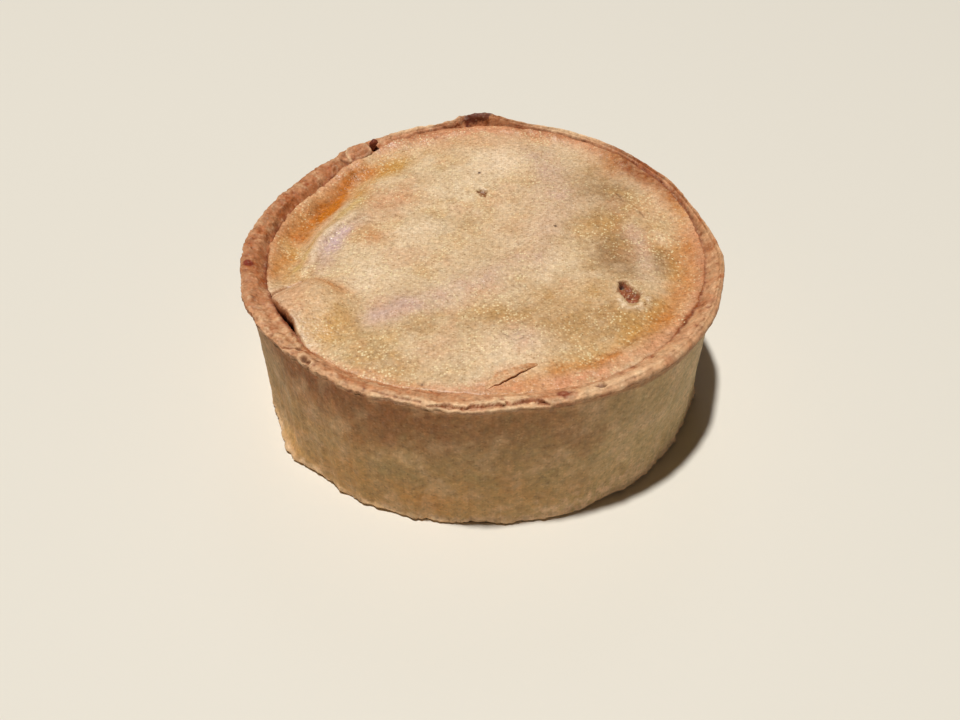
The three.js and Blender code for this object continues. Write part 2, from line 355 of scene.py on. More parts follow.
# The case: wall, foot and rim
crust = {
    "pointsRound": 760,  # the rim has twice as many
    "underShares": (0, 0.12, 0.26, 0.4, 0.54, 0.68, 0.8, 0.9),
    "footRows": 4,
    "wallRows": 36,
    "lipUnderRows": 3,
    "sheets": 2,  # sheets of paste that show in the lip's edge
    "rowsPerSheet": 3,
    "edgeRows": 4,
    "crestRows": 15,
    "slopeRows": 9,
    "hiddenStep": (3, 0.4),  # how far in from the seam the floor under the lid begins, and how far below it
    "hiddenFloor": 24,  # height of that floor's middle
    "lip": (1.4, 0.35),  # how thick the lip is, and by how much that varies
    "lipRound": (0.15, 0.12),  # how far the lip's lower edge and each sheet are rounded
    "lipSlopes": [(322, 30, 2.2), (30, 40, 0.8)],  # where the lip runs down into the wall
    "undercut": 0.4,  # how far the wall stands back under the lip
    "undercuts": [(240, 40, 0.35), (90, 70, 0.25), (160, 40, 0.2), (186, 22, 0.65), (352, 26, 1.3)],
    "edgeRound": (0.3, [(322, 32, 0.6), (150, 45, 0.2), (50, 40, 0.1)]),
    "crestShares": [(345, 40, -0.25)],  # where less of the rim is crest and more of it slopes to the lid
    "roll": 0.28,  # how far the rim's top is rounded up
    "bites": [(3.4, 0.5), (1, 0.26)],  # size and depth of tears in the lip's edge
    "edgeShifts": [
        (142, 7, 0.45), (167, 8, -0.45), (206, 8, 0.3), (250, 6, 0.4), (259, 7, -0.75), (276, 9, -0.65),
        (292, 9, -0.35), (45, 10, -0.35), (110, 9, 0.45),
    ],
    "edgeFlakes": [(116.3, 1.7, 0.8), (123.5, 3, 0.5), (132, 2, 0.5), (100, 1.6, 0.4), (95.2, 2, 0.5)],
    "bitten": (0.3, [(250, 45, 0.7), (150, 60, 0.4), (108, 26, 0.8)]),
    "sheetShift": (2.8, 0.3),
    "footTears": [(2.4, 0.5), (0.9, 0.25)],
    # wavy edge that stands out just over the foot: how far, how high, half height
    "flange": (0.45, 0.9, 0.55),
    "footShifts": [(209.5, 5.5, -1), (240, 12, 0.6), (270, 14, -0.4), (316, 10, -0.5)],
    "footCrowd": 1.3,  # how much closer the rows of points are near the foot
    # angle, width, amount and height of places that spread
    "flares": [(214, 8, 2.4, 3.6), (308, 13, 0.9, 7)],
    "terraces": (5, 0.09),  # size and height of the broken sheets on the rim
    "crumbs": [(2.4, 0.14), (1, 0.07), (0.55, 0.025)],
    "crumbly": [(220, 18, 1), (160, 40, 0.5)],
    "dimples": (14, 0.3),  # size and depth of the underside's dimples
    "pits": 60,
    "pitSizes": (0.22, 0.5),
    "pitBand": (0.3, 4.2),  # how far in from the edge the pits lie
    "bellies": [(195, 24, -0.95), (345, 24, -0.6)],  # where the wall is straighter, or drawn in
    "wallSwell": (14, 0.3),
    "wallMeal": [(3.2, 0.09), (1.3, 0.06)],
    "tear": (260, 283, 1.45, 0.7),  # torn top sheet at the front: from, to, how far in, how deep
    "groove": (0.35, 0.5),  # depth and width of the groove round the lid, and where it is deeper
    "grooves": [(158, 60, 0.5), (0, 45, 0.3), (213.5, 7, 2.6)],
    "lumps": [(90, 6.5, 0.15), (97, 3, 0.35)],  # blistered, burnt crust at the back
    "liftedScale": [
        (-33.5, 36.3), (-31.7, 39), (-29.5, 40.4), (-27.6, 40.2), (-26.6, 38.3), (-27.4, 36),
        (-29.7, 34.5), (-31.7, 34.1),
    ],
    "scaleRise": 0.45,
    "scaleShadow": ([(-33.6, 34.2), (-31.4, 33.9), (-29.2, 34.6), (-27, 36.4), (-25.7, 38.6)], 0.4, 0.3),
    "rimPits": [
        (21.4, -42.4, 0.95, 0.8), (-35.7, -30.4, 0.5, -0.5), (-34.5, -31.8, 0.6, -0.45),
        (-36.7, -29.3, 0.35, -0.4), (-33.2, -36.6, 0.9, 0.8), (-32.2, -37.4, 0.6, 0.6),
        (-34.3, -33.2, 0.6, 0.7), (-12, -43.4, 0.35, 0.4), (3.6, -46, 0.4, 0.4),
        (44.6, -20.6, 0.5, 0.4),
    ],
    "rimCracks": [
        ([(-38.3, -33), (-36.4, -33.4), (-34.6, -33.2)], 0.25, 0.5),
        ([(-20, -44.6), (-15, -46.3), (-11, -47.2)], 0.2, 0.2),
    ],
    "toasted": [(156, 30, 0.62), (195, 14, 0.35), (36, 12, 0.7)],
    "darkEdge": [(43, 8, 0.8), (150, 20, 0.15), (182, 12, 0.2)],
    "salmon": [(106, 14, 0.9), (70, 26, 0.8), (345, 40, 0.2)],
    "seamDark": [
        (160, 45, 0.8), (193, 10, 0.6), (213, 10, 0.9), (107, 10, 1), (68, 18, 0.7), (38, 20, 1),
        (2, 26, 0.7), (333, 10, 1.1), (318, 20, 0.5),
    ],
    "seamRed": [(236, 20, 0.9), (253, 8, 0.5), (288, 8, 0.5), (108, 20, 0.6), (70, 25, 0.6)],
    "rusty": [(152, 38, 0.8), (38, 14, 1), (352, 22, 0.25), (195, 18, 0.4), (126, 6, 0.6)],
    # places on the rim that are redder or paler: angle, width, share across the rim, reach and amount
    "reddened": [(240, 9, 0.42, 0.2, 1), (261, 6, 0.45, 0.25, 0.5), (285, 4, 0.4, 0.25, 0.8)],
    "blanched": [
        (66, 13, 0.35, 0.45, 1.1), (108, 11, 0.2, 0.3, 0.9), (302, 12, 0.42, 0.35, 0.7),
        (328, 14, 0.4, 0.35, 0.3),
    ],
    # where the wall is browner under the rim, partly as painted shade of the lip
    "underBand": [(249, 27, 0.76), (224, 14, 0.45), (285, 14, 0.38), (90, 90, 0.3), (180, 30, 0.3)],
    "charred": [(90.5, 4.7, 0.3, 0.75), (93, 2.5, 0.6, 0.4)],
    "flaky": (297, 20, 0.12),  # where pale paste runs up from the foot: angle, width and share of the wall
    # where the wall is paler on the right, partly painted light from that side
    "greyed": (332, 45),
    "olive": (262, 45),
    "tanned": (244, 40),
    "unshadedUnder": (322, 34),  # where no painted shade is put on the wall under the lip
    "broken": (250, 45),  # where the sheets of the rim stand out most
    "brink": (274, 6),  # where the tear has a pale brink
    "paleEdge": (262, 38),
    "redSpots": [
        (-48.5, -7.2, 1, 1.8), (14.4, -44.5, 1.2, 1), (16.2, -44.6, 1, 0.5), (45.6, -19, 0.9, 0.4),
    ],
}
casePastry = {
    "light": "#dcbd8f",
    "deep": "#cba673",
    "coolCrumb": "#868876",
    "warmCrumb": "#98725e",
    "warmth": 0.5,
    "patchSize": 8,
    "mealSize": 1.5,
    "warmSize": 1.1,
    "grainSize": 0.55,  # flour grains are finer, drawn as coarse as they show from here
    "speckle": (0.23, 0.28, 0.34),  # how far a grain's red, green and blue differ from the paste's
    "crumble": 0.2,
    "paintedGlint": 0.3,
    "paintedGlintFrom": 0.55,  # the share of grains without a painted glint
    "paintedGlintColour": "#f4dfbc",
    "roughness": 0.66,
    "fatRoughness": 0.4,
    "mealStrength": 0.5,
    "mealDepth": 0.12,
    "grainStrength": 0.4,
    "grainDepth": 0.07,
    # of these, the tint for sunken places and the near-black last one are painted shade; band carries some
    # painted shade under the lip, grey and pale some painted light
    "tints": [
        ("grey", "#d8c298"), ("olive", "#bba472"), ("tan", "#e2ae68"), ("band", "#ba7038"),
        ("rim", "#d3a27c"), ("rust", "#c2855a"), ("salmon", "#e2a981"), ("toast", "#b4662f"),
        ("pale", "#f0cfaa"), ("recess", "#985c34"), ("seam", "#8c4a26"), ("red", "#8c3416"),
        ("burnt", "#6c2b16"), ("hollow", "#2c120a"),
    ],
}


def rimEdge(angle):  # the lip's edge with its tears
    least, more = crust["bitten"]
    edge = 0 * angle
    for seed, (size, depth) in enumerate(crust["bites"]):
        edge = edge + depth * np.minimum(roughRound(angle, size, 3, seed + 1) + 0.1, 0.25)
    shift = around(crust["edgeShifts"] + crust["edgeFlakes"], angle)
    return rimOutside(angle) + shift + edge * (least + around(more, angle))


def lipThickness(angle):
    thick, vary = crust["lip"]
    return thick + vary * roughRound(angle, 6, 2, 3)


def wallTop(angle):
    under = crust["undercut"] + around(crust["undercuts"], angle) - around(crust["edgeShifts"], angle)
    return rimOutside(angle) - under


def gathered(rows, angle):  # each part of the rows as one array
    return np.array([[part + 0 * angle for part in row] for row in rows]).transpose(1, 0, 2)


def wallRows(angle):  # radius, height and share up the wall, from the middle of the underside
    foot = footOutside(angle) + around(crust["footShifts"], angle)
    for seed, (size, depth) in enumerate(crust["footTears"]):
        foot = foot + depth * np.minimum(roughRound(angle, size, 3, seed + 5), 0.3)
    top = wallTop(angle)
    height = rimCrest(angle) - lipThickness(angle) - around(crust["lipSlopes"], angle)
    bend = pie["footRound"] * (0.75 + 0.5 * roughRound(angle, 4, 2, 7))
    out, high, half = crust["flange"]
    out = out * (0.7 + 1.2 * roughRound(angle, 3, 3, 32))
    high = high + 0.5 * roughRound(angle, 7, 2, 33)
    belly = pie["wallBelly"] + around(crust["bellies"], angle)
    rows = [(share * (foot - bend), 0, -1) for share in crust["underShares"]]
    for step in range(crust["footRows"]):
        tilt = math.pi / 2 * step / (crust["footRows"] - 1)
        z = bend * (1 - math.cos(tilt))
        rows.append((foot - bend * (1 - math.sin(tilt)) + out * bell(z - high, half), z, 0))
    for share in steps(crust["wallRows"]):
        share = share ** crust["footCrowd"]
        z = bend + (height - bend) * share
        radius = foot + (top - foot) * share + belly * math.sin(math.pi * share)
        radius = radius + out * bell(z - high, half)
        for at, width, by, tall in crust["flares"]:
            radius = radius + by * near(angle, at, width) * (bell(z, tall) - (1 - share))
        rows.append((radius, z, share))
    return gathered(rows, angle)


def rimRows(angle):  # radius, height and share across: below 0 the lip's edge, above 1 the groove
    edge, crest, seam, lip = rimEdge(angle), rimCrest(angle), seamRadius(angle), lipThickness(angle)
    least, more = crust["edgeRound"]
    bend = least + around(more, angle)
    slope = around(crust["lipSlopes"], angle)
    thin, soft = crust["lipRound"]
    rows = []
    for share in steps(crust["lipUnderRows"]):
        radius = wallTop(angle) + (edge - thin - wallTop(angle)) * share
        rows.append((radius, crest - lip - slope * (1 - share) + soft * share, -1))
    size, reach = crust["sheetShift"]
    count = crust["rowsPerSheet"]
    for sheet in range(crust["sheets"]):
        shift = reach * rough(ringOf(angle) * pie["rimRadius"] + [0, 0, 9 * sheet], size, 3, 8 + sheet)
        shift = shift - soft * (sheet == 0)
        for step in range(count):
            share = (sheet + (step + 0.5) / count) / crust["sheets"]
            rounding = soft * (2 * (step + 0.5) / count - 1) ** 2
            lower = crest - lip + thin + (lip - bend - thin) * share
            rows.append((edge + np.minimum(shift, 0.1) / (1 + slope) - rounding, lower, -0.5 + 0.5 * share))
    for share in steps(crust["edgeRows"]):
        tilt = math.pi / 2 * share
        rows.append((edge - bend * (1 - math.cos(tilt)), crest - bend * (1 - math.sin(tilt)), 0.04 * share))
    start = edge - bend
    crestShare = pie["crestShare"] + around(crust["crestShares"], angle)
    crestEnd = np.minimum(edge + (seam - edge) * crestShare, start - 0.1)
    for share in steps(crust["crestRows"]):
        roll = crust["roll"] * math.sin(math.pi * share ** 0.7)
        rows.append((start + (crestEnd - start) * share, crest - pie["crestDrop"] * share ** 2 + roll,
                     0.05 + 0.55 * share))
    seamPoints = ringOf(angle) * seam[:, None]
    seamHeight = np.minimum(lidTop(seamPoints[:, 0], seamPoints[:, 1]), crest - pie["seamDrop"])
    for share in steps(crust["slopeRows"]):
        fall = ease(share, 0, 1)
        height = (crest - pie["crestDrop"]) * (1 - fall) + seamHeight * fall
        rows.append((crestEnd + (seam - crestEnd) * share, height, 0.6 + 0.4 * share))
    deep, wide = crust["groove"]
    groove = deep + around(crust["grooves"], angle)
    for share in (0.35, 0.7, 1):
        rows.append((seam - wide * share, seamHeight - groove * share, 1 + 0.5 * share))
    inward, down = crust["hiddenStep"]
    inner = ringOf(angle) * (seam - inward)[:, None]
    under = np.minimum(lidTop(inner[:, 0], inner[:, 1]) - pie["lidThickness"], seamHeight - groove) - down
    rows.append((seam - inward, under, 2))  # hidden floor under the lid
    return gathered(rows, angle)


def makeCase(material):
    count = crust["pointsRound"]
    angle = turns(count)
    radius, height, up = wallRows(angle)
    wall = placed(angle, radius, height)
    bearing = angle + 0 * radius
    onWall = (up >= 0) * 1.0
    size, swell = crust["wallSwell"]
    relief = swell * rough(wall, size, 2, 10) * np.sin(np.pi * np.clip(up, 0, 1))
    relief += reliefOf(wall, crust["wallMeal"], 11)
    wall += normalsOf(wall) * (relief * onWall * ease(up, -0.01, 0.05))[:, :, None]
    size, depth = crust["dimples"]
    slow = rough(wall, size, 1, 13)
    dimples = depth * ease(slow, 0.05, 0.5) * (up < 0) * ease(radius, 1, 6)
    wall[:, :, 2] = np.maximum(wall[:, :, 2], 0) + dimples * (1 - ease(radius, 40, 45))
    drift, fine, other = rough(wall, 8, 3, 14), rough(wall, 1.6, 3, 15), rough(wall, 5, 4, 26)
    # browner band under the rim, partly painted shade of the lip
    band = around(crust["underBand"], bearing) * ease(up + 0.14 * drift, 0.4, 0.95)
    at, width, reach = crust["flaky"]
    paleTop = 0.07 + 0.04 * drift + reach * near(bearing, at, width) * (1 + 2 * fine)
    footPale = (1 - ease(up, 0.0, paleTop)) * (height > 0.2) * (0.75 + 0.5 * fine)
    wallMasks = {
        "band": band * (0.85 + 0.35 * fine),
        # paler on the right side, partly painted light from that side
        "grey": near(bearing, *crust["greyed"]) * (0.8 + 0.4 * drift) * onWall,
        "olive": ((0.1 + 0.5 * ease(other, 0.05, 0.5)) * onWall
                  * (0.55 + 0.45 * near(bearing, *crust["olive"]))),
        "tan": near(bearing, *crust["tanned"]) * (1 - ease(up, 0.2, 0.8)) * (0.6 + 0.6 * drift) * onWall,
        "pale": footPale + (0.2 * ease(fine, 0.15, 0.6) + 0.35 * ease(-other, 0.1, 0.5)) * onWall,
        # few painted glints on the wall
        "sparkle": 0.25 * onWall,
        "toast": 0.35 * ease(-slow, 0.0, 0.5) * (up < 0) + 0.12 * ease(drift, 0.2, 0.7) * onWall,
        # painted shade just under the lip
        "recess": (0.35 * ease(up, 0.97, 1.0) * (0.6 + 0.5 * fine)
                   * (1 - near(bearing, *crust["unshadedUnder"]))),
    }

    angle = turns(2 * count)
    radius, height, across = rimRows(angle)
    rim = placed(angle, radius, height)
    bearing = angle + 0 * radius
    x, y = rim[:, :, 0], rim[:, :, 1]
    onTop = ease(across, -0.05, 0.08) * (across < 1.2)
    onRim = (across > -0.6) * (across < 1.2)

    # broken sheets of paste on the rim, the torn one at the front, crumbs and pits
    size, step = crust["terraces"]
    sheets = 2.3 * rough(rim, size, 3, 16) + 0.35 * rough(rim, 0.9, 2, 17)
    crumbly = around(crust["crumbly"], bearing)
    relief = step * onTop * (np.floor(sheets) + ease(sheets % 1, 0.6, 1.0))
    relief *= 0.4 + near(bearing, *crust["broken"]) + crumbly
    start, end, reach, drop = crust["tear"]
    jag = 0.9 * rough(rim * [1, 1, 0], 1.3, 3, 18) + 0.5 * rough(rim * [1, 1, 0], 5, 2, 19)
    tornAt = (reach * (0.85 + 0.15 * ease(bearing, start, end)) + jag) * ease(bearing, start - 3, start + 1)
    tornAt = tornAt * (1 - ease(bearing, end - 2, end + 2))
    inside = rimOutside(bearing) + around(crust["edgeShifts"], bearing) - radius
    torn = (1 - ease(inside, tornAt - 0.25, tornAt)) * onRim * (tornAt > 0.15)
    # painted shadow along the edge of the torn sheet
    paintedTearShadow = bell(inside - tornAt + 0.15, 0.25) * onTop * (tornAt > 0.15)
    brink = bell(inside - tornAt - 0.9, 0.8) * onTop * near(bearing, *crust["brink"])
    relief -= drop * torn * onTop
    relief += reliefOf(rim, crust["crumbs"], 20) * onRim * (0.45 + 0.55 * onTop) * (1 + crumbly)
    for at, width, lump in crust["lumps"]:
        relief += lump * near(bearing, at, width) * onRim * (0.4 + 0.9 * rough(rim, 1.8, 3, 22))
    scale = insideOf(x, y, crust["liftedScale"]) + 0.3 * rough(rim, 1.2, 2, 23)
    lifted = ease(scale, -0.1, 0.25) * onTop
    corners, width, depth = crust["scaleShadow"]
    under = alongLine(x, y, corners, width) * onTop
    relief += crust["scaleRise"] * lifted - depth * under
    random = np.random.default_rng(5)
    pitAngle = random.uniform(0, 360, crust["pits"])
    pitRadius = rimOutside(pitAngle) - random.uniform(*crust["pitBand"], crust["pits"])
    pitSize = random.uniform(*crust["pitSizes"], crust["pits"])
    scattered = ringOf(pitAngle) * pitRadius[:, None]
    pits = [(px, py, r, 0.4 * r) for (px, py, _), r in zip(scattered, pitSize)]
    hollows = pitted(x, y, crust["rimPits"])
    cracks = alongLines(x, y, crust["rimCracks"])
    relief -= onTop * (pitted(x, y, pits) + hollows + cracks)
    rim += normalsOf(rim) * relief[:, :, None]

    drift, fine, patchy = rough(rim, 7, 3, 24), rough(rim, 1.4, 3, 25), rough(rim, 3, 4, 27)
    dip = blurred(relief, 5, True) - relief
    reddened, blanched = (sum(amount * near(bearing, at, width) * bell(across - where, reach)
                              for at, width, where, reach, amount in crust[look]) * (across > -0.3)
                          for look in ("reddened", "blanched"))
    toast = around(crust["toasted"], bearing) * ease(across + 0.2 * fine, 0.1, 0.65) * (across < 1.4)
    toFar = radius - seamRadius(bearing)
    seamLine = around(crust["seamDark"], bearing) * bell(toFar - 0.1 * fine, 0.45) * (across > 0.3)
    darkEdge = around(crust["darkEdge"], bearing) * bell(across - 0.05, 0.4)
    char = sum(amount * near(bearing, at, width) * bell(across - where, 0.5) * onRim
               for at, width, where, amount in crust["charred"])
    rosy = around(crust["seamRed"], bearing) * bell(toFar - 0.6 - 0.4 * fine, 0.7) * (across > 0.3)
    rusty = around(crust["rusty"], bearing) * (0.75 + 0.5 * drift) + 0.5 * ease(patchy, 0.1, 0.6)
    # the lip's cut edge is paler, with a painted highlight along it
    paleLitEdge = bell(across - 0.1, 0.16) * (0.9 + 0.5 * fine)
    paleLitEdge = paleLitEdge * (0.05 + 0.55 * near(bearing, *crust["paleEdge"]))
    # raised places painted lighter: painted light
    raised = 0.4 * ease(-dip, 0.04, 0.16) + 0.35 * ease(-patchy, 0.1, 0.6)
    pale = paleLitEdge + raised * onRim + 0.1 * lifted + 0.15 * torn * onTop + 0.8 * brink + blanched
    # painted shade in the rim's dips and cracks
    paintedSunkenShade = 0.55 * ease(dip + 0.02 * fine, 0.03, 0.16) + 0.7 * cracks
    salmon = around(crust["salmon"], bearing) * ease(across, 0.45, 0.7) * (across < 1.1)
    rimMasks = {
        "rim": onRim * (0.85 + 0.3 * drift),
        "salmon": salmon * (0.9 + 0.4 * drift),
        "rust": rusty * onRim + rosy + reddened,
        # painted glints on the rim
        "sparkle": 0.5 * onRim,
        "toast": toast * (0.85 + 0.3 * fine) + 0.4 * ease(patchy + 0.6 * fine, 0.2, 0.8) * onRim,
        "pale": pale * (1 - np.clip(char + 0.7 * reddened, 0, 1)),
        # painted shade in dips and cracks, along the tear and under the lip
        "recess": paintedSunkenShade * onRim + paintedTearShadow * (0.75 + 1.2 * patchy) + 0.5 * (across == -1),
        "seam": (seamLine + darkEdge) * (0.9 + 0.4 * fine),
        "red": pitted(x, y, crust["redSpots"]) * onRim * (0.85 + 0.4 * fine),
        "burnt": 0.9 * ease(char + 0.4 * fine + 0.2 * patchy, 0.25, 0.6) * onRim,
        # near-black painted shade in the groove round the lid, on the hidden floor, in pits and under the
        # lifted scale
        "hollow": ease(across, 1.05, 1.4) + 0.6 * hollows * onTop + 0.35 * under,
        "gloss": (0.25 + 0.35 * ease(drift, 0, 0.6)) * onRim,
    }

    # the middle of the underside, the wall, the rim and the middle of the hidden floor
    floorMiddle = [[0, 0, crust["hiddenFloor"]]]
    points = np.concatenate([wall[:1, 0], wall[1:].reshape(-1, 3), rim.reshape(-1, 3), floorMiddle])
    masks = {}
    for name in sorted(set(wallMasks) | set(rimMasks)):
        low, high = wallMasks.get(name, 0 * up), rimMasks.get(name, 0 * across)
        masks[name] = np.concatenate([low[:1, 0], low[1:].ravel(), high.ravel(), [0]])
    wallGrid = 1 + np.arange((len(wall) - 1) * count).reshape(-1, count)
    rimGrid = wallGrid.max() + 1 + np.arange(2 * len(rim) * count).reshape(-1, 2 * count)
    # two points of the rim for each of the wall
    low, even, odd = wallGrid[-1], rimGrid[0, ::2], rimGrid[0, 1::2]
    after, end = np.roll(low, -1), np.roll(even, -1)
    joint = np.stack([low, odd, even, low, after, odd, after, end, odd], -1).reshape(-1, 3).tolist()
    faces = fanFaces(wallGrid[0, ::-1], 0) + gridFaces(wallGrid, True) + joint
    faces += gridFaces(rimGrid, True) + fanFaces(rimGrid[-1], len(points) - 1)
    makePiece("case_crust", points, faces, masks, material, "pastry_case")


# The burnt chip that stands on the rim
chip = {
    "at": (-26.4, 39.6, 33.7),
    "halfSizes": (0.95, 0.75, 1.4),
    "lean": 18,
    "steps": (28, 18),
    "lumps": (0.9, 0.28),
}


def makeChip(material):
    stepsRound, stepsUp = chip["steps"]
    angle = turns(stepsRound)
    tilts = np.radians(np.linspace(-90, 90, stepsUp + 1))[1:-1, None]
    shell = placed(angle, np.cos(tilts), np.sin(tilts) + 0 * angle).reshape(-1, 3)
    shell = np.concatenate([[[0, 0, -1]], shell, [[0, 0, 1]]])
    size, depth = chip["lumps"]
    body = shell * chip["halfSizes"]
    body = body + shell * (depth * rough(body, size, 3, 30))[:, None]
    lean = math.tan(math.radians(chip["lean"]))
    body[:, 0] += lean * body[:, 2]
    points = body + chip["at"]
    grid = 1 + np.arange((stepsUp - 1) * stepsRound).reshape(-1, stepsRound)
    faces = fanFaces(grid[0, ::-1], 0) + gridFaces(grid, True) + fanFaces(grid[-1], len(points) - 1)
    fine = rough(points, 0.7, 2, 31)
    masks = {"red": 0.9 + 0 * fine, "burnt": 0.55 + 0.7 * fine, "gloss": 0.6 + 0 * fine}
    makePiece("burnt_chip", points, faces, masks, material, "pastry_case")


